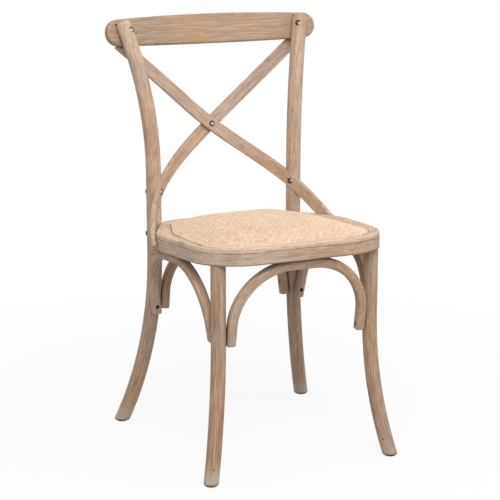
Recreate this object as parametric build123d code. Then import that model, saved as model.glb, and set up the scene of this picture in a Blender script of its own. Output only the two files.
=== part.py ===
from build123d import *
import os
from math import asin, atan2, cos, degrees, hypot, radians, sin, sqrt, tan

# Bentwood cross-back chair. Front is -Y, up is +Z, left is -X. Millimetres.

# Fits
wood_gap = 0.3  # between curved wooden faces that meet
pin_gap = 0.15  # radial room round a shank or a tenon

# Front legs: upright rods that bend forward and outward below the knee
leg_radius = 15.0
leg_x = 168.5
leg_y = -184.0
leg_knee = 292.0
leg_splay_x = 33.8
leg_splay_y = -37.0
leg_tenon_radius = 9.5
leg_tenon_length = 16.0

# Back posts: rods bent backward and outward below the seat and above it
post_radius = 15.8
post_x = 164.2
post_y = 155.0
post_knee = 380.0
post_splay_x = 57.2
post_splay_y = 66.0
post_shoulder = 554.0
post_lean_x = 40.2
post_lean_y = 52.9
post_lean_height = 860.0  # the lean is reached at this height
post_top = 869.0
post_top_round = 9.0

# Feet
glide_radius = 12.0
glide_thickness = 3.0
glide_edge = 0.8
nail_radius = 2.0
nail_length = 14.0
nail_head_radius = 4.0
nail_head_thickness = 1.0
foot_edge = 1.5

# Seat, drawn flat on its underside and then tipped backward
seat_height = 423.0  # underside of the frame above the origin of its plan
seat_tilt = 3.16
seat_half_width = 212.0
shoulder_radius = 130.0
shoulder_y = 0.0
front_corner_radius = 107.0
front_corner_angle = -38.0  # direction from the corner's centre to the leg
leg_inset = 17.0  # leg axis to the outline
rear_corner_radius = 60.0
post_side_angle = 28.5  # direction from the rear corner's centre to the post
post_housing = 2.7  # how far the post sinks into the seat frame
frame_width = 60.0
frame_height = 25.0
frame_edge = 2.0
inner_corner = 6.0  # smallest round of an inner outline
rebate_width = 14.0
rim_width = 22.0
rim_waist = 11.0  # the rim is this much wider at the middle of the sides
rim_height = 9.5
rim_inset = 0.6
rim_edge = 3.0
rim_dish = 3.6  # fall of the rim's top towards the panel
rim_dish_width = 17.0
board_thickness = 9.0
panel_edge_height = 5.5  # where the panel meets the rim
panel_crown = 29.5  # rise from there to the middle
panel_curve = 3.0  # higher is fuller near the rim
panel_layers = (1.0, 0.9, 0.75, 0.55, 0.3)  # outlines that the crown is drawn through
panel_gap = 1.2

# Crest rail
rail_length = 482.0
rail_end_height = 55.0
rail_crown = 8.0  # rise of the top edge between the round ends
rail_thickness = 21.0
rail_bow_radius = 1100.0
rail_centre_z = 841.0
rail_lean = 11.0
rail_housing = 3.5  # how far the post sinks into the rail at mid height
rail_edge = 4.0

# Cross slats
slat_width = 27.0
slat_thickness = 10.0
slat_edge = 2.5
slat_gap = 0.8  # between the two slats where they cross
cross_y = 231.0
cross_z = 640.0
slat_top_x = 210.0
slat_top_z = 823.0
slat_rail_depth = 7.0  # how far the slat sinks into the back of the rail
slat_post_angle = 39.0  # direction of the slat's face where it meets the post
slat_post_rise = 94.0  # rivet above the underside of the seat frame
slat_post_depth = 9.0  # depth of the notch in the post
slat_side_angle = 22.6  # direction from the shoulder's centre to the slat's screw
slat_side_rise = 17.0  # screw above the underside of the seat frame
slat_end_angle = 13.0
slat_end_rise = 1.0
slat_stations = 15

# Arch braces: hoops that flare outward to meet the seat frame
arch_size = 19.5
arch_edge = 6.0
arch_bend = 118.0
arch_drop_front = 165.5  # ends below the seat frame
arch_drop_rear = 153.0
arch_drop_side = 158.5
arch_flare_front = 28.0  # how far the top stands outside the ends
arch_flare_rear = 10.0
arch_flare_side = 22.0
arch_lean_front = 2.0  # how far an arch leg leans inward on the way up
arch_lean_rear = 13.0
arch_end_round = 3.5
front_screw_rise = 12.0  # screw above the end of the arch
rear_screw_rise = 27.0
side_screw_rise = 17.0

# Rivets, screws and bolts
rivet_shank_radius = 3.0
rivet_head_radius = 6.5
rivet_head_height = 4.0
rivet_seat_depth = 1.2  # head sunk into a round rod
crest_rivet_z = 848.0  # on the axis of the post
crest_rivet_length = 44.0
bolt_radius = 3.5
bolt_head_radius = 6.5
bolt_head_height = 4.5
bolt_length = 62.0
bolt_seat_depth = 1.2
bolt_rise = 13.0  # bolt above the underside of the seat frame
screw_radius = 2.2
screw_head_radius = 4.0
screw_head_height = 2.5
screw_bore_radius = 4.4
arch_screw_length = 34.0
arch_screw_sink = 6.0
arch_seat_screw_length = 30.0
arch_seat_screw_sink = 6.0
slat_screw_length = 26.0
slat_rail_screw_length = 18.0
slat_rail_screw_in = 14.0  # screw from the slat's upper end
board_screw_length = 20.0
board_screw_count = 8

above = 60.0  # reach of a cutter past what it cuts
span = 900.0  # side of the blocks that trim at the floor and at the seat
mesh_tolerance = 0.05


def bend_radius(rise, run):
    return (rise**2 + run**2) / (2 * run)


def bend_run(radius, rise):
    return radius - sqrt(radius**2 - rise**2)


def bent_point(x, y, start, rise, lean_x, lean_y, full_rise):
    lean = hypot(lean_x, lean_y)
    run = bend_run(bend_radius(full_rise, lean), abs(rise))
    return Vector(x + lean_x / lean * run, y + lean_y / lean * run, start + rise)


def leg_point(z):
    if z >= leg_knee:
        return Vector(leg_x, leg_y, z)
    return bent_point(leg_x, leg_y, leg_knee, z - leg_knee, leg_splay_x, leg_splay_y, leg_knee)


def post_point(z):
    if z < post_knee:
        return bent_point(post_x, post_y, post_knee, z - post_knee, post_splay_x, post_splay_y, post_knee)
    if z > post_shoulder:
        full_rise = post_lean_height - post_shoulder
        rise = z - post_shoulder
        return bent_point(post_x, post_y, post_shoulder, rise, post_lean_x, post_lean_y, full_rise)
    return Vector(post_x, post_y, z)


def mirrored(shape):
    return mirror(shape, about=Plane.YZ)


def pin(start, direction, radius, length):
    return Plane(origin=start, z_dir=direction) * Cylinder(
        radius, length, align=(Align.CENTER, Align.CENTER, Align.MIN)
    )


def rod(path, radius):
    return sweep(Plane(origin=path @ 0, z_dir=path % 0) * Circle(radius), path=path)


def dome(radius, height):
    ball_radius = (radius**2 + height**2) / (2 * height)
    ball = Pos(0, 0, height - ball_radius) * Sphere(ball_radius)
    return ball & Pos(0, 0, height / 2) * Cylinder(radius * 2, height)


def rivet(front, back):
    along = back - front
    shank = pin(front, along, rivet_shank_radius, along.length)
    head = dome(rivet_head_radius, rivet_head_height)
    near = Plane(origin=front, z_dir=-along) * head
    far = Plane(origin=back, z_dir=along) * head
    return shank + near + far


def rivet_room(front, back):
    along = back - front
    unit = along.normalized()
    room = pin(front - unit * above, along, rivet_shank_radius + pin_gap, along.length + 2 * above)
    room += pin(front, -along, rivet_head_radius + pin_gap, above)
    return room + pin(back, along, rivet_head_radius + pin_gap, above)


def screw(head, direction, length):
    shank = pin(head, direction, screw_radius, length - screw_radius)
    tip_plane = Plane(origin=head + Vector(direction).normalized() * (length - screw_radius), z_dir=direction)
    tip = tip_plane * Cone(
        screw_radius, screw_radius / 4, screw_radius, align=(Align.CENTER, Align.CENTER, Align.MIN)
    )
    top = pin(head, direction, screw_head_radius, screw_head_height)
    slot = Plane(origin=head, z_dir=direction) * Box(screw_head_radius * 3, 1, 2)
    return shank + tip + top - slot


def screw_room(head, direction, length):
    unit = Vector(direction).normalized()
    room = pin(head, direction, screw_radius + pin_gap, length + pin_gap)
    return room + pin(head + unit * (screw_head_height + pin_gap), -unit, screw_bore_radius, above)


# Seat outline and the frame it is placed in

seat_place = Location((0, 0, seat_height), (-seat_tilt, 0, 0))
seat_plane = Plane(seat_place)


def on_seat(x, y, z=0.0):
    return seat_plane.from_local_coords(Vector(x, y, z))


def seat_underside(y):
    return seat_height - y * tan(radians(seat_tilt))


def polar(angle, length):
    return Vector(cos(radians(angle)), sin(radians(angle))) * length


front_corner = Vector(leg_x, leg_y) - polar(front_corner_angle, front_corner_radius - leg_inset)
rear_reach = rear_corner_radius + post_radius - post_housing
rear_corner = Vector(post_x, post_y) - polar(post_side_angle, rear_reach)
shoulder = Vector(seat_half_width - shoulder_radius, shoulder_y)


def seat_outline(inset, waist=0.0):
    rounds = (
        (front_corner, front_corner_radius),
        (shoulder, shoulder_radius - waist),
        (rear_corner, rear_corner_radius),
    )
    edges = []
    for centre, radius in rounds:
        for side in (1, -1):
            edges += (Pos(side * centre.X, centre.Y) * Circle(max(radius - inset, inner_corner))).edges()
    return make_hull(edges)


def seat_slab(inset, bottom, height, waist=0.0):
    return extrude(Pos(0, 0, bottom) * seat_outline(inset, waist), height)


# Back posts

post_foot = post_point(-above / 2)
post_bend_low = TangentArc(Vector(post_x, post_y, post_knee), post_foot, tangent=(0, 0, -1))
post_run = Line(Vector(post_x, post_y, post_knee), Vector(post_x, post_y, post_shoulder))
post_bend_high = TangentArc(Vector(post_x, post_y, post_shoulder), post_point(post_top), tangent=(0, 0, 1))


def post_rod(radius):
    lower = rod(post_bend_low, radius)
    middle = rod(post_run, radius)
    upper = rod(post_bend_high, radius)
    return lower + middle + upper


def above_floor(shape):
    standing = shape - Pos(0, 0, glide_thickness - above) * Box(span, span, 2 * above)
    return fillet(standing.faces().sort_by(Axis.Z)[0].edges(), foot_edge)


post_blank = above_floor(post_rod(post_radius))
post_end = post_blank.faces().sort_by(Axis.Z)[-1]
post_blank = fillet(post_end.edges(), post_top_round)
post_cutter = post_rod(post_radius + wood_gap)

# Front legs: cut to the slope of the seat frame, with an upright tenon above

leg_top = seat_underside(leg_y)
leg_bend = TangentArc(Vector(leg_x, leg_y, leg_knee), leg_point(-above / 2), tangent=(0, 0, -1))
leg_run = Line(Vector(leg_x, leg_y, leg_knee), Vector(leg_x, leg_y, leg_top + above))
leg_blank = above_floor(rod(leg_bend, leg_radius) + rod(leg_run, leg_radius))
seat_space = seat_place * Pos(0, 0, above) * Box(span, span, 2 * above)
leg_blank -= seat_space
tenon_base = Vector(leg_x, leg_y, leg_top - leg_radius)
leg_blank += pin(tenon_base, (0, 0, 1), leg_tenon_radius, leg_radius + leg_tenon_length)
tenon_room = pin(tenon_base, (0, 0, 1), leg_tenon_radius + pin_gap, leg_radius + leg_tenon_length + pin_gap)

# Seat frame, rim, board and rattan panel, all in the seat's own plane

frame_blank = seat_slab(0, 0, frame_height) - seat_slab(frame_width, -above, frame_height + 2 * above)
frame_blank -= seat_slab(frame_width - rebate_width, frame_height - board_thickness, above)
frame_bottom = frame_blank.faces().sort_by(Axis.Z)[0]
frame_blank = fillet(frame_bottom.outer_wire().edges(), frame_edge)

rim_blank = seat_slab(rim_inset, frame_height, rim_height)
rim_blank -= seat_slab(rim_width, frame_height - above, 2 * above, rim_waist)
rim_top = rim_blank.faces().sort_by(Axis.Z)[-1]
rim_blank = chamfer(rim_top.inner_wires()[0].edges(), rim_dish_width, rim_dish, reference=rim_top)
rim_top = rim_blank.faces().sort_by(Axis.Z)[-1]
rim_blank = fillet(rim_top.outer_wire().edges(), rim_edge)

board_inset = frame_width - rebate_width + wood_gap
board_blank = seat_slab(board_inset, frame_height - board_thickness, board_thickness)

panel_y = (front_corner.Y - front_corner_radius + rear_corner.Y + rear_corner_radius) / 2
panel_inset = rim_width + panel_gap


def panel_layer(share):
    rise = panel_crown * (1 - share**panel_curve)
    layer = scale(Pos(0, -panel_y) * seat_outline(panel_inset, rim_waist), share)
    return Pos(0, panel_y, frame_height + panel_edge_height + rise) * layer


panel_blank = seat_slab(panel_inset, frame_height, panel_edge_height, rim_waist)
panel_blank += loft([panel_layer(share) for share in panel_layers])

# Crest rail: a bowed slab cut to a long shape with round ends, then leaned back

post_at_rail = post_point(rail_centre_z)
rail_sag = bend_run(rail_bow_radius, post_at_rail.X)
rail_y = post_at_rail.Y + post_radius - rail_housing + rail_thickness / 2 + rail_sag
rail_place = Location((0, rail_y, rail_centre_z), (-rail_lean, 0, 0))
rail_normal = Vector(0, cos(radians(rail_lean)), -sin(radians(rail_lean)))

rail_ring = Circle(rail_bow_radius + rail_thickness / 2) - Circle(rail_bow_radius - rail_thickness / 2)
rail_bow = Pos(0, -rail_bow_radius, -rail_end_height) * extrude(rail_ring, 3 * rail_end_height)
rail_shoulder_x = (rail_length - rail_end_height) / 2
rail_shoulder_z = rail_end_height / 2
rail_crown_arc = ThreePointArc(
    (-rail_shoulder_x, rail_shoulder_z), (0, rail_shoulder_z + rail_crown), (rail_shoulder_x, rail_shoulder_z)
)
rail_crown_chord = Line((rail_shoulder_x, rail_shoulder_z), (-rail_shoulder_x, rail_shoulder_z))
rail_crown_face = make_face(rail_crown_arc + rail_crown_chord)
rail_face = SlotOverall(rail_length, rail_end_height) + rail_crown_face
rail_blank = rail_bow & extrude(Plane.XZ * rail_face, rail_length / 2, both=True)
rail_long_edges = rail_blank.edges().filter_by(lambda edge: edge.length > rail_thickness * 1.5)
rail_blank = rail_place * fillet(rail_long_edges, rail_edge)


def rail_back(x, z):
    lean_shift = (z - rail_centre_z) * tan(radians(rail_lean))
    half = rail_thickness / 2 / cos(radians(rail_lean))
    return rail_y + lean_shift - bend_run(rail_bow_radius, abs(x)) + half


# Cross slats: strips bent through the back of the rail, the crossing, the post and the seat's side


def seat_direction(direction):
    return on_seat(direction.X, direction.Y) - on_seat(0, 0)


def side_place(angle, out, rise):
    plan = shoulder + polar(angle, shoulder_radius + out)
    return on_seat(plan.X, plan.Y, rise)


slat_post_z = seat_height + slat_post_rise
post_normal = polar(slat_post_angle, 1)
rail_turn = asin(slat_top_x / rail_bow_radius)
top_normal = Vector(-sin(rail_turn), cos(rail_turn) * rail_normal.Y, rail_normal.Z)
slat_out = slat_thickness / 2 + wood_gap
slat_top_y = rail_back(slat_top_x, slat_top_z) - slat_rail_depth + slat_thickness / 2
slat_top = Vector(-slat_top_x, slat_top_y, slat_top_z)
slat_post_reach = post_radius - slat_post_depth + slat_thickness / 2
slat_at_post = Vector(post_x, post_y, slat_post_z) - post_normal * slat_post_reach
slat_at_side = side_place(slat_side_angle, slat_out, slat_side_rise)
slat_end = side_place(slat_end_angle, slat_out, slat_end_rise)
side_normal = seat_direction(polar(slat_side_angle, 1))
end_normal = seat_direction(polar(slat_end_angle, 1))


def cross_point(step):
    return Vector(0, cross_y, cross_z) + rail_normal * (step * (slat_thickness + slat_gap) / 2)


def slat_points(step):
    crossing = cross_point(step)
    return (slat_top, (slat_top + crossing) / 2, crossing, slat_at_post, slat_at_side, slat_end)


def slat_solid(step, extra):
    points = slat_points(step)
    middle_normal = (top_normal + rail_normal) / 2
    normals = (top_normal, middle_normal, rail_normal, post_normal, side_normal, end_normal)
    line = Spline(*points, tangents=(points[1] - points[0], points[5] - points[4]))
    stops = [line.param_at_point(point) for point in points]
    sections = []
    for station in range(slat_stations):
        t = station / (slat_stations - 1)
        leg = max(i for i in range(len(stops) - 1) if i == 0 or stops[i] <= t)
        share = (t - stops[leg]) / (stops[leg + 1] - stops[leg])
        facing = normals[leg] * (1 - share) + normals[leg + 1] * share
        along = line % t
        place = Plane(origin=line @ t, x_dir=facing - along * facing.dot(along), z_dir=along)
        sections.append(place * RectangleRounded(slat_thickness + extra, slat_width + extra, slat_edge))
    return loft(sections)


seat_keep_clear = seat_place * seat_slab(-wood_gap, -above, above + frame_height + rim_height + wood_gap)
slat_front = slat_solid(-1, 0) - seat_keep_clear
slat_rear = slat_solid(1, 0) - seat_keep_clear
slat_room_front = slat_solid(-1, 2 * wood_gap)
slat_room_rear = slat_solid(1, 2 * wood_gap)

# Arch braces: square rods with round edges, bent to hoops that touch the seat frame


def arch_corners(start, finish, flare, lean_start, lean_finish):
    inward = (Vector(finish.X, finish.Y) - Vector(start.X, start.Y)).normalized()
    top_start = start + flare + inward * lean_start
    top_finish = finish + flare - inward * lean_finish
    turn = atan2(flare.length, seat_underside(start.Y) - start.Z) + radians(seat_tilt)
    drop = (arch_size / 2 - arch_edge) * (cos(turn) + sin(turn)) + arch_edge + wood_gap
    top_start.Z = seat_underside(top_start.Y) - drop
    top_finish.Z = seat_underside(top_finish.Y) - drop
    return start, top_start, top_finish, finish


def arch(corners):
    path = FilletPolyline(*corners, radius=arch_bend)
    across = (corners[1] - corners[0]).cross(corners[3] - corners[0])
    section = Plane(origin=path @ 0, x_dir=across, z_dir=path % 0)
    brace = sweep(section * RectangleRounded(arch_size, arch_size, arch_edge), path=path)
    ends = brace.faces().filter_by(GeomType.PLANE).sort_by(Axis.Z)[:2]
    return fillet(ends[0].edges() + ends[1].edges(), arch_end_round)


def arch_screw(foot, top, toward, rise):
    centre = foot + (top - foot).normalized() * rise
    return centre - toward * (arch_size / 2 - arch_screw_sink), toward


def ended(x, y, drop):
    return Vector(x, y, seat_underside(y) - drop)


leg_reach = leg_radius + arch_size / 2 + wood_gap
post_reach = post_radius + arch_size / 2 + wood_gap
post_low = post_point(seat_underside(post_y) - arch_drop_rear)
front_foot = ended(leg_x - leg_reach, leg_y, arch_drop_front)
rear_foot = ended(post_low.X - post_reach, post_y, arch_drop_rear)
side_front_foot = ended(leg_x, leg_y + leg_reach, arch_drop_side)
side_rear_foot = ended(leg_x, post_low.Y - post_reach, arch_drop_side)


def flipped(point):
    return Vector(-point.X, point.Y, point.Z)


right = Vector(1, 0, 0)
back = Vector(0, 1, 0)
up = Vector(0, 0, 1)
front_corners = arch_corners(
    flipped(front_foot), front_foot, -back * arch_flare_front, arch_lean_front, arch_lean_front
)
rear_corners = arch_corners(
    flipped(rear_foot), rear_foot, back * arch_flare_rear, arch_lean_rear, arch_lean_rear
)
side_corners = arch_corners(
    side_front_foot, side_rear_foot, right * arch_flare_side, arch_lean_front, arch_lean_rear
)
arch_front = arch(front_corners)
arch_rear = arch(rear_corners)
arch_right = arch(side_corners)

arch_leg_fixings = [
    arch_screw(front_corners[3], front_corners[2], right, front_screw_rise),
    arch_screw(rear_corners[3], rear_corners[2], right, rear_screw_rise),
    arch_screw(side_corners[0], side_corners[1], -back, side_screw_rise),
    arch_screw(side_corners[3], side_corners[2], back, side_screw_rise),
]
arch_head_drop = up * (arch_size / 2 - arch_seat_screw_sink)
arch_seat_heads = [
    (corners[1] + corners[2]) / 2 - arch_head_drop for corners in (front_corners, rear_corners, side_corners)
]
arch_seat_heads.append(flipped(arch_seat_heads[2]))
arch_seat_fixings = [(head, up) for head in arch_seat_heads]

# Rivets, bolts and screws on the right side of the chair

slat_rivet_front = slat_at_post - post_normal * (slat_thickness / 2)
slat_rivet_back = Vector(post_x, post_y, slat_post_z) + post_normal * (post_radius - rivet_seat_depth)
slat_rivet = rivet(slat_rivet_front, slat_rivet_back)
slat_rivet_room = rivet_room(slat_rivet_front, slat_rivet_back)

lean_unit = Vector(post_lean_x, post_lean_y).normalized()
lean_radius = bend_radius(post_lean_height - post_shoulder, hypot(post_lean_x, post_lean_y))
crest_turn = asin((crest_rivet_z - post_shoulder) / lean_radius)
crest_inward = up * sin(crest_turn) - lean_unit * cos(crest_turn)
crest_front = post_point(crest_rivet_z) + crest_inward * (post_radius - rivet_seat_depth)
crest_head = Plane(origin=crest_front, z_dir=crest_inward) * dome(rivet_head_radius, rivet_head_height)
crest_rivet = crest_head + pin(crest_front, -crest_inward, rivet_shank_radius, crest_rivet_length)
crest_room = pin(crest_front, crest_inward, rivet_head_radius + pin_gap, above)
crest_room += pin(crest_front, -crest_inward, rivet_shank_radius + pin_gap, crest_rivet_length + pin_gap)

cross_front = cross_point(-1) - rail_normal * (slat_thickness / 2)
cross_back = cross_point(1) + rail_normal * (slat_thickness / 2)
crossing_rivet = rivet(cross_front, cross_back)
crossing_room = rivet_room(cross_front, cross_back)

bolt_inward = -polar(post_side_angle, 1)
bolt_z = seat_underside(post_y) + bolt_rise
bolt_start = Vector(post_x, post_y, bolt_z) - bolt_inward * (post_radius - bolt_seat_depth)
bolt_head = Plane(origin=bolt_start, z_dir=-bolt_inward) * dome(bolt_head_radius, bolt_head_height)
seat_bolt = bolt_head + pin(bolt_start, bolt_inward, bolt_radius, bolt_length)
bolt_room = pin(bolt_start, -bolt_inward, bolt_head_radius + pin_gap, above)
bolt_room += pin(bolt_start, bolt_inward, bolt_radius + pin_gap, bolt_length + pin_gap)

slat_screw_head = slat_at_side + side_normal * (slat_thickness / 2)
slat_seat_fixing = (slat_screw_head, -side_normal)
slat_fall = (slat_top - cross_point(0)).normalized()
slat_rail_head = slat_top - slat_fall * slat_rail_screw_in + top_normal * (slat_thickness / 2)
slat_rail_fixing = (slat_rail_head, -top_normal)

board_line = seat_outline(frame_width - rebate_width / 2).face().outer_wire()
board_fixings = []
for index in range(board_screw_count):
    spot = board_line @ ((index + 0.5) / board_screw_count)
    board_fixings.append((on_seat(spot.X, spot.Y, frame_height), on_seat(0, 0, 0) - on_seat(0, 0, 1)))


def screws(fixings, length):
    return [screw(head, direction, length) for head, direction in fixings]


def rooms(fixings, length):
    return [screw_room(head, direction, length) for head, direction in fixings]


def both(shapes):
    return shapes + [mirrored(shape) for shape in shapes]


arch_leg_rooms = rooms(arch_leg_fixings, arch_screw_length)
arch_seat_rooms = rooms(arch_seat_fixings, arch_seat_screw_length)
slat_seat_room = screw_room(*slat_seat_fixing, slat_screw_length)
slat_rail_room = screw_room(*slat_rail_fixing, slat_rail_screw_length)

# Foot glides with their nails


def glide_at(point):
    disc = Pos(point.X, point.Y, glide_thickness / 2) * Cylinder(glide_radius, glide_thickness)
    disc = fillet(disc.edges().group_by(Axis.Z)[0], glide_edge)
    return disc - nail_at(point, pin_gap)


def nail_at(point, room):
    head_top = nail_head_thickness * 2
    low = Vector(point.X, point.Y, nail_head_thickness - room)
    shank = pin(low, up, nail_radius + room, nail_length + 2 * room)
    head = pin(low, up, nail_head_radius + room, nail_head_thickness + 2 * room)
    if room:
        head += pin(low, -up, nail_head_radius + room, head_top)
    return shank + head


feet = [leg_point(glide_thickness), post_point(glide_thickness)]
glides = [glide_at(foot) for foot in feet]
nails = [nail_at(foot, 0) for foot in feet]
nail_rooms = [nail_at(foot, pin_gap) for foot in feet]

# Pieces with their housings, notches and holes

leg_right = leg_blank - arch_leg_rooms[0] - arch_leg_rooms[2] - nail_rooms[0]
post_common = post_blank - slat_rivet_room - crest_room - bolt_room - nail_rooms[1]
post_common = post_common - arch_leg_rooms[1] - arch_leg_rooms[3]
post_right = post_common - slat_room_front
post_left = mirrored(post_common - slat_room_rear)

seat_frame = seat_place * frame_blank
for cutter in (post_cutter, tenon_room, bolt_room, slat_seat_room):
    seat_frame = seat_frame - cutter - mirrored(cutter)
for cutter in arch_seat_rooms + rooms(board_fixings, board_screw_length):
    seat_frame = seat_frame - cutter
seat_board = seat_place * board_blank
for cutter in rooms(board_fixings, board_screw_length):
    seat_board = seat_board - cutter
seat_rim = seat_place * rim_blank - post_cutter - mirrored(post_cutter)

crest_rail = rail_blank - post_cutter - mirrored(post_cutter) - slat_room_front - mirrored(slat_room_rear)
crest_rail = crest_rail - crest_room - mirrored(crest_room)
crest_rail = crest_rail - slat_rail_room - mirrored(slat_rail_room)

cross_slat_front = slat_front - slat_rivet_room - slat_seat_room - slat_rail_room - crossing_room
cross_slat_rear = mirrored(slat_rear - slat_rivet_room - slat_seat_room - slat_rail_room)
cross_slat_rear = cross_slat_rear - slat_room_front - crossing_room

arch_front = arch_front - arch_leg_rooms[0] - mirrored(arch_leg_rooms[0]) - arch_seat_rooms[0]
arch_rear = arch_rear - arch_leg_rooms[1] - mirrored(arch_leg_rooms[1]) - arch_seat_rooms[1]
arch_right = arch_right - arch_leg_rooms[2] - arch_leg_rooms[3] - arch_seat_rooms[2]

pieces = {
    "back_post_left": [post_left],
    "back_post_right": [post_right],
    "front_leg_left": [mirrored(leg_right)],
    "front_leg_right": [leg_right],
    "crest_rail": [crest_rail],
    "cross_slat_front": [cross_slat_front],
    "cross_slat_rear": [cross_slat_rear],
    "seat_frame": [seat_frame],
    "seat_rim": [seat_rim],
    "seat_board": [seat_board],
    "rattan_panel": [seat_place * panel_blank],
    "arch_front": [arch_front],
    "arch_rear": [arch_rear],
    "arch_left": [mirrored(arch_right)],
    "arch_right": [arch_right],
    "crossing_rivet": [crossing_rivet],
    "slat_rivets": both([slat_rivet]),
    "crest_rivets": both([crest_rivet]),
    "seat_bolts": both([seat_bolt]),
    "arch_leg_screws": both(screws(arch_leg_fixings, arch_screw_length)),
    "arch_seat_screws": screws(arch_seat_fixings, arch_seat_screw_length),
    "slat_seat_screws": both(screws([slat_seat_fixing], slat_screw_length)),
    "slat_rail_screws": both(screws([slat_rail_fixing], slat_rail_screw_length)),
    "board_screws": screws(board_fixings, board_screw_length),
    "foot_glides": both(glides),
    "glide_nails": both(nails),
}

# The origin is on the floor, under the middle of the chair's box

outer_points = []
for group in pieces.values():
    for shape in group:
        outer_points += shape.tessellate(mesh_tolerance)[0]
front_end = min(point.Y for point in outer_points)
back_end = max(point.Y for point in outer_points)
to_origin = Pos(0, -(front_end + back_end) / 2, 0)
print("moved to the origin by", to_origin.position)
print("overall width", 2 * max(point.X for point in outer_points))
print("overall depth", back_end - front_end)
print("overall height", max(point.Z for point in outer_points))

os.makedirs("parts", exist_ok=True)
for name, group in pieces.items():
    solids = [solid for shape in group for solid in (to_origin * shape).solids()]
    print(name, len(solids), all(solid.is_valid for solid in solids))
    export_step(solids[0] if len(solids) == 1 else Compound(solids), f"parts/{name}.step")
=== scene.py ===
import bpy
import math
import numpy as np
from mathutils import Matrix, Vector
from mathutils.geometry import convex_hull_2d


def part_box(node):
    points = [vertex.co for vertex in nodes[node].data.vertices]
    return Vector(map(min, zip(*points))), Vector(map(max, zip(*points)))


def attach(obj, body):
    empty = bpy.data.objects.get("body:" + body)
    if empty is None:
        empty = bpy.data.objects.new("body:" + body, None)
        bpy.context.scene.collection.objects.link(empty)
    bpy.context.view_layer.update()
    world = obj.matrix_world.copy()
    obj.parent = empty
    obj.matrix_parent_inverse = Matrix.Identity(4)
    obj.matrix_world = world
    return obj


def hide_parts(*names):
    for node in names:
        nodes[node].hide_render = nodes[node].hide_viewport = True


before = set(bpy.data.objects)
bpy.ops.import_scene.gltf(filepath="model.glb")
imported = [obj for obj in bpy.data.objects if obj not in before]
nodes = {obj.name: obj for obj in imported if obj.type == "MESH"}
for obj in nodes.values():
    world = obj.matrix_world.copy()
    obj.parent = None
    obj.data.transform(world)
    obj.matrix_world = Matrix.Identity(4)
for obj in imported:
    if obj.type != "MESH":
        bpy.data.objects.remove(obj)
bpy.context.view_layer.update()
print("frame loaded,", len(nodes), "nodes")


def paint(red, green, blue):  # screen colour, 0 to 255, as the shader wants it
    def lin(v):
        v = v / 255
        return v / 12.92 if v <= 0.04045 else ((v + 0.055) / 1.055) ** 2.4
    return (lin(red), lin(green), lin(blue), 1.0)


class Sock:  # a shader socket that takes part in Python sums
    def __init__(self, tree, link=None):
        self.tree = tree
        self.link = link

    def add(self, kind, settings, values, out=0):
        node = self.tree.nodes.new("ShaderNode" + kind)
        for key, value in settings.items():
            setattr(node, key, value)
        for key, value in values.items():
            if isinstance(value, Sock):
                self.tree.links.new(value.link, node.inputs[key])
            else:
                node.inputs[key].default_value = value
        return Sock(self.tree, node.outputs[out])

    def math(self, operation, *others):
        return self.add("Math", {"operation": operation}, dict(enumerate((self,) + others)))

    def __add__(self, other):
        return self.math("ADD", other)

    def __radd__(self, other):
        return self.math("ADD", other)

    def __sub__(self, other):
        return self.math("SUBTRACT", other)

    def __rsub__(self, other):
        return self.add("Math", {"operation": "SUBTRACT"}, {0: other, 1: self})

    def __mul__(self, other):
        return self.math("MULTIPLY", other)

    def __rmul__(self, other):
        return self.math("MULTIPLY", other)

    def __truediv__(self, other):
        return self.math("DIVIDE", other)

    def __abs__(self):
        return self.math("ABSOLUTE")

    def ease(self, low, high, start=0.0, end=1.0):  # soft step from start to end
        return self.add("MapRange", {"interpolation_type": "SMOOTHSTEP"},
                        {0: self, 1: low, 2: high, 3: start, 4: end})

    def tint(self, colourA, colourB, blend="MIX"):  # colourA where self is 0, colourB where it is 1
        return self.add("Mix", {"data_type": "RGBA", "blend_type": blend}, {0: self, 6: colourA, 7: colourB}, 2)

    def noise(self, detail=2.0, rough=0.5, scale=1.0):  # self is a vector
        return self.add("TexNoise", {}, {"Vector": self, "Scale": scale, "Detail": detail, "Roughness": rough})


def newFinish(name):
    finish = bpy.data.materials.new(name)
    finish.use_nodes = True
    return finish, Sock(finish.node_tree), finish.node_tree.nodes["Principled BSDF"]


def plug(sock, shader, name):
    sock.tree.links.new(sock.link, shader.inputs[name])


def coords(base):
    place = base.add("TexCoord", {}, {}, "Object")
    split = [place.add("SeparateXYZ", {}, {0: place}, k) for k in range(3)]
    return place, split[0], split[1], split[2]


def normalPart(base, axis):  # how squarely the surface faces along an axis
    return abs(base.add("SeparateXYZ", {}, {0: base.add("NewGeometry", {}, {}, "Normal")}, axis))


def seenDirectly(base):  # 1 for the camera, in mirrors and through glass
    rays = [base.add("LightPath", {}, {}, out) for out in ("Is Camera Ray", "Is Glossy Ray", "Is Transmission Ray")]
    return rays[0].math("MAXIMUM", rays[1]).math("MAXIMUM", rays[2])


def bump(base, shader, height, strength, distance):
    plug(base.add("Bump", {}, {"Strength": strength, "Distance": distance, "Height": height}), shader, "Normal")


def put(finish, *names):
    for name in names:
        nodes[name].data.materials.clear()
        nodes[name].data.materials.append(finish)


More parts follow.
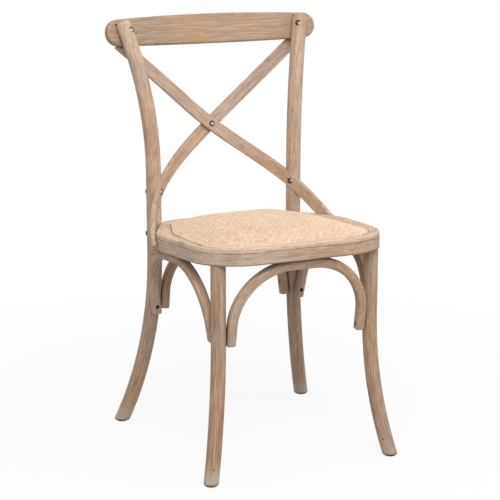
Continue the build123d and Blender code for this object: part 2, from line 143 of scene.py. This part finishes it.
# limed oak: pale stain, darker growth bands, lime left in the pores
oak = {
    "pale": paint(211, 184, 162), "mid": paint(194, 165, 141), "warm": paint(190, 150, 114),
    "band": paint(158, 124, 96), "lime": paint(220, 199, 180), "pore": paint(118, 92, 72),
    "grey": paint(172, 152, 134), "edge": paint(224, 203, 186), "dirtAndShade": paint(74, 54, 42),
    "foot": paint(206, 190, 176), "knot": paint(76, 54, 40), "fleck": paint(132, 102, 78),
    "low": paint(156, 122, 94), "occlusionReach": 0.007,
    "below": (0.44, 0.24), "scuff": (0.05, 0.012), "sole": (0.0085, 0.0035), "rough": 0.5,
}
oakGrain = {  # repeats per metre along and across the grain, shift, detail, roughness
    "broad": (2.6, 42.0, 0.0, 2.0, 0.5), "warp": (2.2, 20.0, 5.3, 2.0, 0.5),
    "streaks": (6.0, 190.0, 3.9, 2.0, 0.5), "fibre": (14.0, 760.0, 9.1, 3.0, 0.6),
    "flecks": (34.0, 430.0, 21.3, 1.0, 0.5), "pores": (55.0, 1500.0, 14.7, 1.0, 0.5),
}
oakLayers = [  # grain, where it starts and is full, share, share that force scales, colour
    ("streaks", 0.5, 0.66, 0.0, 0.42, "band"), ("streaks", 0.48, 0.32, 0.0, 0.42, "lime"),
    ("flecks", 0.55, 0.67, 0.0, 0.6, "fleck"), ("flecks", 0.44, 0.31, 0.0, 0.5, "lime"),
    ("fibre", 0.51, 0.65, 0.2, 0.3, "band"), ("fibre", 0.5, 0.36, 0.5, 0.0, "lime"),
    ("pores", 0.57, 0.67, 0.25, 0.4, "pore"),
]


def limedOak(name, grain, seed, bandWidth=0.0042, bandShare=0.26, wear=0.0022, dirtAndShade=(),
             wash=None, force=1.0, feet=False, stains=(), knots=()):
    finish, base, shader = newFinish(name)
    place, x, y, z = coords(base)
    along, flat, deep = grain(x, y, z)

    def streak(kind):
        rate, across, shift, detail, rough = oakGrain[kind]
        vector = along.add("CombineXYZ", {}, {0: along * rate + (seed + shift), 1: flat * across, 2: deep * across})
        return vector.noise(detail, rough)

    marks = {kind: streak(kind) for kind in oakGrain}
    broad, warp, streaks = marks["broad"], marks["warp"], marks["streaks"]
    moved = place.add("VectorMath", {"operation": "ADD"}, {0: place, 1: (seed, seed * 0.7, 0.3)})
    patch = moved.noise(2.0, 0.6, 11.0)
    bands = ((flat + deep * 0.45 + (warp - 0.5) * 0.05) * (math.tau / bandWidth)).math("SINE")
    line = bands.ease(0.1, 1.0) * broad.ease(0.36, 0.62)

    tone = broad.ease(0.34, 0.66).tint(oak["mid"], oak["pale"])
    if wash:  # this piece's own stain
        tone = (patch.ease(0.2, 0.75, 0.6, 1.0) * wash[0]).tint(tone, wash[1])
    if feet:  # painted shade: darker below the seat, where the seat shades the legs
        tone = (z.ease(*oak["below"]) * 0.55).tint(tone, oak["low"])
    for middle, reach, colour, share in stains:  # where the colour drifts along the piece
        tone = ((abs(along - middle) + (warp - 0.5) * reach).ease(reach, 0.0) * share).tint(tone, colour)
    tone = (warp.ease(0.47, 0.63) * patch.ease(0.4, 0.6) * 0.8).tint(tone, oak["warm"])
    tone = (patch.ease(0.48, 0.34) * 0.5).tint(tone, oak["grey"])
    tone = (line * bandShare).tint(tone, oak["band"])
    for kind, start, full, fixed, forced, colour in oakLayers:
        tone = (marks[kind].ease(start, full) * (fixed + forced * force)).tint(tone, oak[colour])
    if feet:  # scuffed pale near the floor, darker in the last few millimetres of the foot
        tone = (z.ease(*oak["scuff"]) * patch.ease(0.3, 0.55) * 0.6).tint(tone, oak["foot"])
        tone = (z.ease(*oak["sole"]) * 0.8).tint(tone, oak["dirtAndShade"])
    for spot, size in knots:
        away = place.add("VectorMath", {"operation": "DISTANCE"}, {0: place, 1: spot}, "Value")
        tone = ((away + (streaks - 0.5) * 0.004).ease(size, size * 0.45) * 0.85).tint(tone, oak["knot"])
    if wear:  # the lime rubs off last along the edges
        soft = base.add("Bevel", {"samples": 4}, {"Radius": wear})
        sharp = base.add("NewGeometry", {}, {}, "Normal")
        turn = soft.add("VectorMath", {"operation": "DOT_PRODUCT"}, {0: soft, 1: sharp}, "Value")
        tone = (turn.ease(0.985, 0.86) * patch.ease(0.3, 0.6) * 0.5).tint(tone, oak["edge"])
    nookShade = base.add("AmbientOcclusion", {"samples": 6}, {"Distance": oak["occlusionReach"]}, "AO")
    tone = (nookShade.ease(0.62, 0.18) * 0.6).tint(tone, oak["dirtAndShade"])  # grime in the joints and painted shade where pieces meet or sit close
    for clean, dark, share in dirtAndShade:  # dirt along a joint, or painted shade along an edge
        tone = (flat.ease(clean, dark) * streaks.ease(0.3, 0.52) * share).tint(tone, oak["dirtAndShade"])
    plug(tone, shader, "Base Color")
    plug(marks["fibre"] * 0.2 + patch * 0.12 + oak["rough"], shader, "Roughness")
    height = streaks * 0.5 + marks["fibre"] * 0.5 - marks["pores"].ease(0.58, 0.7) * 0.5 - line * 0.3
    bump(base, shader, height, 0.45, 0.0005)
    return finish


# back posts: round rods, bent out below the seat and back above it
post = {
    "x": 0.1642, "y": 0.1433, "knee": 0.380, "out": (0.0572, 0.066),
    "shoulder": 0.554, "rise": 0.306, "lean": (0.0402, 0.0529),
    "oak": {"bandShare": 0.18, "force": 0.75, "feet": True},
    "left": {
        "seed": 1.7, "wash": (0.75, paint(236, 205, 178)),
        "stains": [(0.64, 0.12, paint(204, 164, 126), 0.5), (0.83, 0.1, paint(232, 206, 186), 0.5)],
    },
    "right": {
        "seed": 6.2, "wash": (0.65, paint(210, 180, 156)),
        "stains": [(0.56, 0.1, paint(204, 168, 134), 0.4), (0.8, 0.1, paint(220, 192, 170), 0.4)],
    },
}


def postGrain(x, y, z):
    below = (post["knee"] - z).math("MAXIMUM", 0.0) / post["knee"]
    above = (z - post["shoulder"]).math("MAXIMUM", 0.0) / post["rise"]
    low = below * below
    top = above * above
    return (z, abs(x) - low * post["out"][0] - top * post["lean"][0] - post["x"],
            y - low * post["out"][1] - top * post["lean"][1] - post["y"])


for side in ("left", "right"):
    put(limedOak("postOak" + side.title(), postGrain, **post["oak"], **post[side]), "back_post_" + side)

# front legs: round rods, bent out below the hoops
leg = {
    "x": 0.1685, "y": -0.1957, "knee": 0.292, "out": (0.0338, 0.037),
    "oak": {"force": 0.8, "feet": True},
    "left": {
        "seed": 11.4, "wash": (0.7, paint(178, 134, 99)), "stains": [(0.16, 0.17, paint(172, 120, 82), 0.75)],
        "knots": [((-0.1994, -0.2403, 0.034), 0.003), ((-0.1965, -0.2385, 0.052), 0.002)],
    },
    "right": {
        "seed": 17.9, "wash": (0.45, paint(192, 160, 132)), "stains": [(0.26, 0.13, paint(188, 142, 104), 0.6)],
        "knots": [((0.1834, -0.2339, 0.0373), 0.0026)],
    },
}


def legGrain(x, y, z):
    below = (leg["knee"] - z).math("MAXIMUM", 0.0) / leg["knee"]
    low = below * below
    return z, abs(x) - low * leg["out"][0] - leg["x"], y + low * leg["out"][1] - leg["y"]


for side in ("left", "right"):
    put(limedOak("legOak" + side.title(), legGrain, **leg["oak"], **leg[side]), "front_leg_" + side)

# crest rail: grain runs along the bow
rail = {
    "z": 0.841, "bow": 1.1,
    "oak": {
        "seed": 23.6, "bandWidth": 0.0062, "bandShare": 0.14, "wear": 0.004,
        "wash": (0.78, paint(162, 132, 105)), "force": 0.25,
        "stains": [(-0.14, 0.08, paint(160, 142, 122), 0.65), (-0.03, 0.08, paint(192, 144, 98), 0.62)],
    },
}


def railGrain(x, y, z):
    return x, z - rail["z"], y + x * x / (2 * rail["bow"])


put(limedOak("railOak", railGrain, **rail["oak"]), "crest_rail")

# cross slats: grain runs down the strip and round the post
slat = {
    "z": 0.640, "slope": 0.855, "sag": 0.4, "turn": (0.132, 0.108),
    "across": 0.76, "along": (0.76, 0.62, 0.9), "side": (0.72, 0.69), "depth": 0.3,
    "oak": {"bandWidth": 0.006, "bandShare": 0.24, "wear": 0.003, "wash": (0.5, paint(212, 186, 164)), "force": 0.75},
}


def slatGrain(side):
    def grain(x, y, z):
        run = x * side
        rise = z - slat["z"]
        past = run.math("MAXIMUM", 0.0)
        inBack = (rise + run * slat["slope"] - past * past * slat["sag"]) * slat["across"]
        onSide = z * slat["side"][0] - y * slat["side"][1]
        where = y.ease(slat["turn"][0], slat["turn"][1])
        flat = inBack + (onSide - inBack) * where
        along = run * slat["along"][0] - rise * slat["along"][1] - y * slat["along"][2]
        return along, flat, flat * slat["depth"]
    return grain


for name, side, seed in (("front", 1, 29.3), ("rear", -1, 33.8)):
    put(limedOak("slatOak" + name.title(), slatGrain(side), seed, **slat["oak"]), "cross_slat_" + name)

# hoop braces: grain follows the bend
hoopShape = {"bend": 0.118, "halves": 0.7}
hoopOak = {"bandWidth": 0.005, "bandShare": 0.22, "wear": 0.003, "force": 0.7}
hoops = {
    "arch_front": {"wide": 0.0234, "centre": 0.306, "middle": 0.0, "side": False, "seed": 41.0},
    "arch_rear": {"wide": 0.0257, "centre": 0.285, "middle": 0.0, "side": False, "seed": 46.7},
    "arch_left": {"wide": 0.0292, "centre": 0.295, "middle": -0.0235, "side": True, "seed": 52.4},
    "arch_right": {"wide": 0.0292, "centre": 0.295, "middle": -0.0235, "side": True, "seed": 58.1},
}


def hoopGrain(hoop):
    def grain(x, y, z):
        span, deep = (y - hoop["middle"], abs(x)) if hoop["side"] else (x, y)
        out = (abs(span) - hoop["wide"]).math("MAXIMUM", 0.0)
        up = (z - hoop["centre"]).math("MAXIMUM", 0.0)
        flat = (out * out + up * up).math("SQRT") - hoopShape["bend"]
        arc = out.math("ARCTAN2", up) * hoopShape["bend"]
        leftOver = (hoop["wide"] - abs(span)).math("MAXIMUM", 0.0)
        along = arc - leftOver + (hoop["centre"] - z).math("MAXIMUM", 0.0)
        return along + span.math("SIGN") * hoopShape["halves"], flat, deep
    return grain


for name, hoop in hoops.items():
    put(limedOak(name + "Oak", hoopGrain(hoop), hoop["seed"], **hoopOak), name)

# seat ring: grain runs round the seat, the join is at the back
ring = {
    "y": -0.037, "wide": 0.08, "long": 0.1, "corner": 0.13, "girth": 0.2, "slope": 0.0552,
    "band": {
        "seed": 61.2, "bandWidth": 0.0055, "bandShare": 0.22, "wear": 0.0025,
        # dirt in the joint under the rim, then painted shade along the band's lower edge
        "dirtAndShade": [(0.4462, 0.4472, 0.85), (0.4268, 0.4234, 0.6)],
        "wash": (0.8, paint(216, 194, 174)), "force": 0.5,
    },
    "rim": {
        "seed": 67.5, "bandWidth": 0.005, "bandShare": 0.22, "wear": 0.0035,
        "dirtAndShade": [(0.4484, 0.4476, 0.85)],
        "wash": (0.9, paint(242, 212, 186)), "force": 0.45,
    },
}


def ringGrain(x, y, z):
    back = y - ring["y"]
    out = (abs(x) - ring["wide"]).math("MAXIMUM", 0.0)
    over = (abs(back) - ring["long"]).math("MAXIMUM", 0.0)
    reach = (out * out + over * over).math("SQRT") - ring["corner"]
    around = x.math("ARCTAN2", back * -1.0) * ring["girth"]
    return around, z + y * ring["slope"], reach


put(limedOak("bandOak", ringGrain, **ring["band"]), "seat_frame")
put(limedOak("rimOak", ringGrain, **ring["rim"]), "seat_rim")
print("oak done")


# plywood board under the seat
ply = {
    "pale": paint(214, 184, 142), "dark": paint(190, 152, 106), "fibre": paint(158, 120, 80),
    "glue": paint(140, 102, 66), "veneers": 0.0018, "rough": 0.55,
}


def birchPly(name):
    finish, base, shader = newFinish(name)
    x, y, z = coords(base)[1:]
    figure = base.add("CombineXYZ", {}, {0: x * 55.0, 1: y * 5.0, 2: z * 20.0}).noise(3.0, 0.6)
    fibre = base.add("CombineXYZ", {}, {0: x * 900.0, 1: y * 40.0, 2: z * 300.0}).noise(2.0, 0.6)
    plies = ((z + y * ring["slope"]) * (math.tau / ply["veneers"])).math("SINE")
    onEdge = normalPart(base, 2).ease(0.8, 0.3)
    tone = figure.ease(0.35, 0.65).tint(ply["pale"], ply["dark"])
    tone = (fibre.ease(0.5, 0.7) * 0.4).tint(tone, ply["fibre"])
    tone = (plies.ease(-0.2, 0.6) * onEdge * 0.7).tint(tone, ply["glue"])
    plug(tone, shader, "Base Color")
    plug(fibre * 0.2 + ply["rough"], shader, "Roughness")
    bump(base, shader, fibre, 0.25, 0.0004)
    return finish


put(birchPly("birchPly"), "seat_board")

# metal and plastic
nickel = {"bright": paint(204, 198, 190), "dull": paint(156, 147, 138), "rim": paint(58, 49, 42), "rough": 0.3}
steel = {"pale": paint(58, 52, 48), "dark": paint(28, 25, 23), "rust": paint(96, 66, 44), "rough": 0.32}
glide = {"dark": paint(24, 22, 21), "scuffed": paint(46, 42, 39), "rough": 0.4}


def nickelFinish(name):
    finish, base, shader = newFinish(name)
    place, x, y, z = coords(base)
    spots = place.noise(3.0, 0.6, 900.0)
    scratch = base.add("CombineXYZ", {}, {0: x * 4000.0, 1: y * 400.0, 2: z * 700.0}).noise(1.0)
    tone = spots.ease(0.4, 0.65).tint(nickel["bright"], nickel["dull"])
    # painted shade: heads darken where they turn away from front and back, so the sideways slat rivets are dark all
    # over
    tone = (normalPart(base, 1).ease(0.97, 0.78) * 0.85).tint(tone, nickel["rim"])
    plug(tone, shader, "Base Color")
    plug(spots * 0.3 + scratch * 0.12 + nickel["rough"], shader, "Roughness")
    shader.inputs["Metallic"].default_value = 1.0
    bump(base, shader, scratch, 0.12, 0.0002)
    return finish


def darkSteel(name):
    finish, base, shader = newFinish(name)
    spots = coords(base)[0].noise(3.0, 0.6, 700.0)
    tone = spots.ease(0.35, 0.65).tint(steel["pale"], steel["dark"])
    tone = (spots.ease(0.62, 0.72) * 0.6).tint(tone, steel["rust"])
    plug(tone, shader, "Base Color")
    plug(spots * 0.35 + steel["rough"], shader, "Roughness")
    shader.inputs["Metallic"].default_value = 0.8
    bump(base, shader, spots, 0.2, 0.0002)
    return finish


def glidePlastic(name):
    finish, base, shader = newFinish(name)
    place = coords(base)[0]
    pebble = place.noise(2.0, 0.6, 1400.0)
    scuff = place.noise(3.0, 0.65, 160.0)
    plug(scuff.ease(0.45, 0.7).tint(glide["dark"], glide["scuffed"]), shader, "Base Color")
    plug(pebble * 0.2 + scuff * 0.2 + glide["rough"], shader, "Roughness")
    bump(base, shader, pebble, 0.3, 0.0003)
    return finish


put(nickelFinish("rivetNickel"), "crossing_rivet", "slat_rivets", "crest_rivets", "seat_bolts")
put(darkSteel("screwSteel"), "arch_leg_screws", "arch_seat_screws", "slat_seat_screws", "slat_rail_screws",
    "board_screws", "glide_nails")
put(glidePlastic("glideBlack"), "foot_glides")
print("metal and plastic done")

# woven seat: split cane in a two over, two under twill, pulled over a crowned pad
seat = {
    "upright": 0.0033, "flat": 0.0044, "relief": 0.0008, "sink": 0.0001, "roll": 0.004, "drop": 0.0007,
    "trim": 0.0004, "fade": 0.0015, "tuck": 0.0002, "smoothing": 300, "crease": math.radians(50), "above": 0.03,
    "meshPerStrip": 3, "arcPoints": 180, "planeHeight": 0.029,
    "floor": 0.0253, "height": 0.423, "tilt": math.radians(3.16), "shift": -0.011694,
    "corners": [(0.0976, -0.1286, 0.0838), (0.082, 0.0, 0.0958), (0.100, 0.1201, 0.0368)],
}


def seatOutline():  # the ring round the panel, in the row frame, seen from above
    points = []
    for cx, cy, radius in seat["corners"]:
        for side in (-1, 1):
            for k in range(seat["arcPoints"]):
                turn = math.tau * k / seat["arcPoints"]
                points.append((side * (cx + radius * math.cos(turn)), cy + radius * math.sin(turn)))
    hull = [points[k] for k in convex_hull_2d([Vector(p) for p in points])]
    lift = seat["planeHeight"] * math.sin(seat["tilt"])
    return np.array([(px, py * math.cos(seat["tilt"]) + lift + seat["shift"]) for px, py in hull])


def toOutline(points, outline):  # distance inside the outline and the nearest point on it
    best = np.full(len(points), 9.0)
    near = np.zeros_like(points)
    for start, end in zip(outline, np.roll(outline, -1, 0)):
        reach = end - start
        part = np.clip(((points - start) @ reach) / max(reach @ reach, 1e-12), 0, 1)
        foot = start + part[:, None] * reach
        gap = np.linalg.norm(points - foot, axis=1)
        closer = gap < best
        best[closer] = gap[closer]
        near[closer] = foot[closer]
    middle = outline.mean(0)
    outward = np.linalg.norm(points - middle, axis=1) > np.linalg.norm(near - middle, axis=1)
    return np.where(outward, -best, best), near


def weaveHeight(px, py):  # 0 in the grooves, 1 on the strips
    i = np.floor(px / seat["upright"] + 1e-4)
    j = np.floor(py / seat["flat"] + 1e-4)
    fx = px / seat["upright"] - i
    fy = py / seat["flat"] - j
    step = np.mod(i - j, 4)
    upright = step < 2
    across = np.where(upright, fx, fy)
    run = np.where(upright, (step + 1 - fy) / 2, (step - 2 + fx) / 2)
    crown = np.clip(1 - (2 * across - 1) ** 2, 0, 1)
    bulge = np.clip(1 - (2 * run - 1) ** 2, 0, 1)
    return crown * (0.35 + 0.65 * np.sqrt(bulge))


def wovenSeat():
    low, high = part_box("rattan_panel")
    stepX, stepY = seat["upright"] / seat["meshPerStrip"], seat["flat"] / seat["meshPerStrip"]
    left, front = math.floor(low.x / stepX) - 1, math.floor(low.y / stepY) - 1
    wide, deep = math.ceil(high.x / stepX) + 1 - left, math.ceil(high.y / stepY) + 1 - front
    bpy.ops.object.select_all(action="DESELECT")
    bpy.ops.mesh.primitive_grid_add(x_subdivisions=wide, y_subdivisions=deep, size=1.0)
    piece = bpy.context.object
    piece.name = "wovenSeat"
    piece.scale = (wide * stepX, deep * stepY, 1)
    piece.location = ((left + wide / 2) * stepX, (front + deep / 2) * stepY, high.z + seat["above"])
    bpy.ops.object.transform_apply(location=True, rotation=True, scale=True)
    wrap = piece.modifiers.new("pad", "SHRINKWRAP")
    wrap.target = nodes["rattan_panel"]
    wrap.wrap_method = "PROJECT"
    wrap.use_project_z = True
    wrap.use_negative_direction = True
    wrap.use_positive_direction = False
    bpy.ops.object.modifier_apply(modifier="pad")

    outline = seatOutline()
    points = np.array([v.co for v in piece.data.vertices])
    inside, near = toOutline(points[:, :2], outline)
    missed = points[:, 2] > high.z + seat["above"] / 3
    away = (inside < seat["trim"]) | missed
    for vertex, out in zip(piece.data.vertices, away):
        vertex.select = bool(out)
    for edge in piece.data.edges:
        edge.select = False
    for face in piece.data.polygons:
        face.select = False
    bpy.ops.object.mode_set(mode="EDIT")
    bpy.ops.mesh.select_mode(type="VERT")
    bpy.ops.mesh.delete(type="VERT")
    bpy.ops.object.mode_set(mode="OBJECT")
    even = piece.modifiers.new("even", "SMOOTH")
    even.use_x = even.use_y = False
    even.iterations = seat["smoothing"]
    bpy.ops.object.modifier_apply(modifier="even")

    mesh = piece.data
    used = {}
    for face in mesh.polygons:
        for key in face.edge_keys:
            used[key] = used.get(key, 0) + 1
    border = sorted({v for key, times in used.items() if times == 1 for v in key})
    points = np.array([v.co for v in mesh.vertices])
    inside, near = toOutline(points[:, :2], outline)
    lift = (weaveHeight(points[:, 0], points[:, 1]) - 1) * seat["relief"] - seat["sink"]
    edge = np.clip(1 - inside / seat["roll"], 0, 1)
    points[:, 2] += lift * np.clip(inside / seat["fade"], 0, 1) - seat["drop"] * edge ** 2
    points[border, :2] = near[border]
    points[border, 2] -= seat["tuck"]
    mesh.vertices.foreach_set("co", points.ravel())
    mesh.update()

    bpy.ops.object.mode_set(mode="EDIT")
    bpy.ops.mesh.select_all(action="DESELECT")
    bpy.ops.mesh.select_mode(type="EDGE")
    bpy.ops.mesh.select_non_manifold(extend=False)
    bpy.ops.mesh.extrude_edges_move(TRANSFORM_OT_translate={"value": (0, 0, -0.001)})
    bpy.ops.object.mode_set(mode="OBJECT")
    under = seat["height"] + seat["floor"] / math.cos(seat["tilt"])
    for vertex in mesh.vertices:  # the skirt ends just above the board
        if vertex.select:
            vertex.co.z = under - (vertex.co.y - seat["shift"]) * math.tan(seat["tilt"])
    bpy.ops.object.mode_set(mode="EDIT")
    bpy.ops.mesh.edge_face_add()
    bpy.ops.mesh.select_all(action="SELECT")
    bpy.ops.mesh.normals_make_consistent(inside=False)
    bpy.ops.object.mode_set(mode="OBJECT")
    bpy.ops.object.shade_smooth_by_angle(angle=seat["crease"])
    return piece


cane = {
    "pale": paint(252, 226, 198), "bright": paint(255, 243, 222), "across": paint(241, 200, 159),
    "dark": paint(224, 178, 134), "mottle": paint(242, 204, 170), "gold": paint(254, 232, 190),
    "fibre": paint(212, 168, 122), "grooveShade": paint(178, 132, 88), "gap": paint(112, 78, 48), "rough": 0.36,
}


def caneFinish(name):
    finish, base, shader = newFinish(name)
    place, x, y = coords(base)[:3]
    bend = place.noise(2.0, 0.5, 60.0) - 0.5
    acrossX = x / seat["upright"] + bend * 0.5 + 1e-4
    acrossY = y / seat["flat"] - bend * 0.35 + 1e-4
    i = acrossX.math("FLOOR")
    j = acrossY.math("FLOOR")
    fx = acrossX - i
    fy = acrossY - j
    step = (i - j).math("FLOORED_MODULO", 4.0)
    flatRun = step.math("GREATER_THAN", 1.5)
    upright = 1.0 - flatRun
    across = fx * upright + fy * flatRun
    run = (step + 1.0 - fy) * 0.5 * upright + (step - 2.0 + fx) * 0.5 * flatRun
    off = across * 2.0 - 1.0
    endOff = run * 2.0 - 1.0
    crown = 1.0 - off * off
    bulge = 1.0 - endOff * endOff
    height = crown * (bulge.math("SQRT") * 0.65 + 0.35)
    which = i * upright + (j + 977.0) * flatRun
    own = base.add("TexWhiteNoise", {"noise_dimensions": "1D"}, {"W": which})
    ridge = ((i - j) / 4.0).math("FLOOR")
    each = base.add("TexWhiteNoise", {"noise_dimensions": "1D"}, {"W": which * 1.37 + ridge * 7.11})
    lengthwise = y * upright + x * flatRun
    drawn = base.add("CombineXYZ", {}, {0: lengthwise * 60.0, 1: across * 5.0 + which, 2: which * 3.1})
    fibre = drawn.noise(2.0, 0.6)
    mottle = place.noise(3.0, 0.6, 26.0)
    slow = place.noise(2.0, 0.5, 7.0)

    tone = own.ease(0.0, 1.0).tint(cane["pale"], cane["bright"])
    # painted shade: the strips that run across are darker, as if they caught less light
    tone = (flatRun * 0.65).tint(tone, cane["across"])
    tone = (each.ease(0.4, 1.0) * 0.7).tint(tone, cane["dark"])
    tone = (mottle.ease(0.5, 0.68) * 0.3).tint(tone, cane["mottle"])
    tone = (slow.ease(0.5, 0.65) * 0.3).tint(tone, cane["gold"])
    tone = (fibre.ease(0.55, 0.75) * 0.35).tint(tone, cane["fibre"])
    # painted shade in the grooves between the strips
    tone = (height.ease(0.5, 0.0) * 0.85).tint(tone, cane["grooveShade"])
    # painted shade in the openings where the strips cross
    gap = bulge.ease(0.5, 0.0) * abs(off).ease(0.2, 1.0) * mottle.ease(0.3, 0.6, 0.55, 1.0)
    tone = gap.tint(tone, cane["gap"])
    plug(tone, shader, "Base Color")
    plug(fibre * 0.25 + cane["rough"] - height * 0.06, shader, "Roughness")
    bump(base, shader, height + fibre * 0.12, 0.8, 0.0007)
    return finish


woven = wovenSeat()
woven.data.materials.clear()
woven.data.materials.append(caneFinish("splitCane"))
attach(woven, "root")
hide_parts("rattan_panel")
print("woven seat done,", len(woven.data.polygons), "faces")

# floor, light and camera
stage = {
    "floor": paint(250, 250, 250), "underLight": paint(168, 166, 164), "sky": 0.6,
    "mottle": paint(232, 231, 229), "floorSize": 60.0, "fadeFrom": 0.35, "fadeTo": 1.5, "floorGlow": (0.86, 0.997),
    "key": {"at": (-0.6, -2.1, 2.6), "size": 1.8, "power": 46.0},
    "fill": {"at": (2.0, -1.3, 1.6), "size": 1.6, "power": 12.0},
    "eye": (-1.36887, -2.87935, 1.14378), "look": (0.41625, 0.88075, -0.22585), "lens": 113.17, "aim": (0, 0, 0.45),
}

bpy.ops.object.select_all(action="DESELECT")
bpy.ops.mesh.primitive_plane_add(size=stage["floorSize"], location=(0, 0, 0))
floor = bpy.context.object
floor.name = "paleFloor"
floorFinish, base, shader = newFinish("paleFloor")
place, x, y = coords(base)[:3]
shade = place.noise(3.0, 0.6, 40.0)
seen = seenDirectly(base)
paper = (shade * 0.04).tint(stage["floor"], stage["mottle"])
plug(seen.tint(stage["underLight"], paper), shader, "Base Color")
shader.inputs["Roughness"].default_value = 0.9
glow = base.add("Emission", {}, {"Color": (1, 1, 1, 1), "Strength": 1.0})
lit = Sock(base.tree, shader.outputs[0])
reach = (x * x + y * y).math("SQRT")  # the shadow fades into plain white away from the feet
fade = reach.ease(stage["fadeFrom"], stage["fadeTo"], *stage["floorGlow"])
both = base.add("MixShader", {}, {0: seen * fade, 1: lit, 2: glow})
base.tree.links.new(both.link, base.tree.nodes["Material Output"].inputs["Surface"])
floor.data.materials.append(floorFinish)

world = bpy.context.scene.world or bpy.data.worlds.new("studio")
bpy.context.scene.world = world
world.use_nodes = True
seen = seenDirectly(Sock(world.node_tree))
backdrop = world.node_tree.nodes["Background"]
backdrop.inputs["Color"].default_value = (1, 1, 1, 1)
plug(seen * (1 - stage["sky"]) + stage["sky"], backdrop, "Strength")

for lampName in ("key", "fill"):
    lamp = stage[lampName]
    bpy.ops.object.light_add(type="AREA", location=lamp["at"])
    light = bpy.context.object
    light.name = lampName
    light.data.size = lamp["size"]
    light.data.energy = lamp["power"]
    light.rotation_euler = (Vector(stage["aim"]) - Vector(lamp["at"])).to_track_quat("-Z", "Y").to_euler()

bpy.ops.object.camera_add(location=stage["eye"])
camera = bpy.context.object
camera.rotation_euler = Vector(stage["look"]).to_track_quat("-Z", "Y").to_euler()
camera.data.sensor_width = 36.0
camera.data.lens = stage["lens"]
camera.data.clip_end = 200.0
bpy.context.scene.camera = camera
bpy.context.scene.view_settings.view_transform = "Standard"
print("stage done")
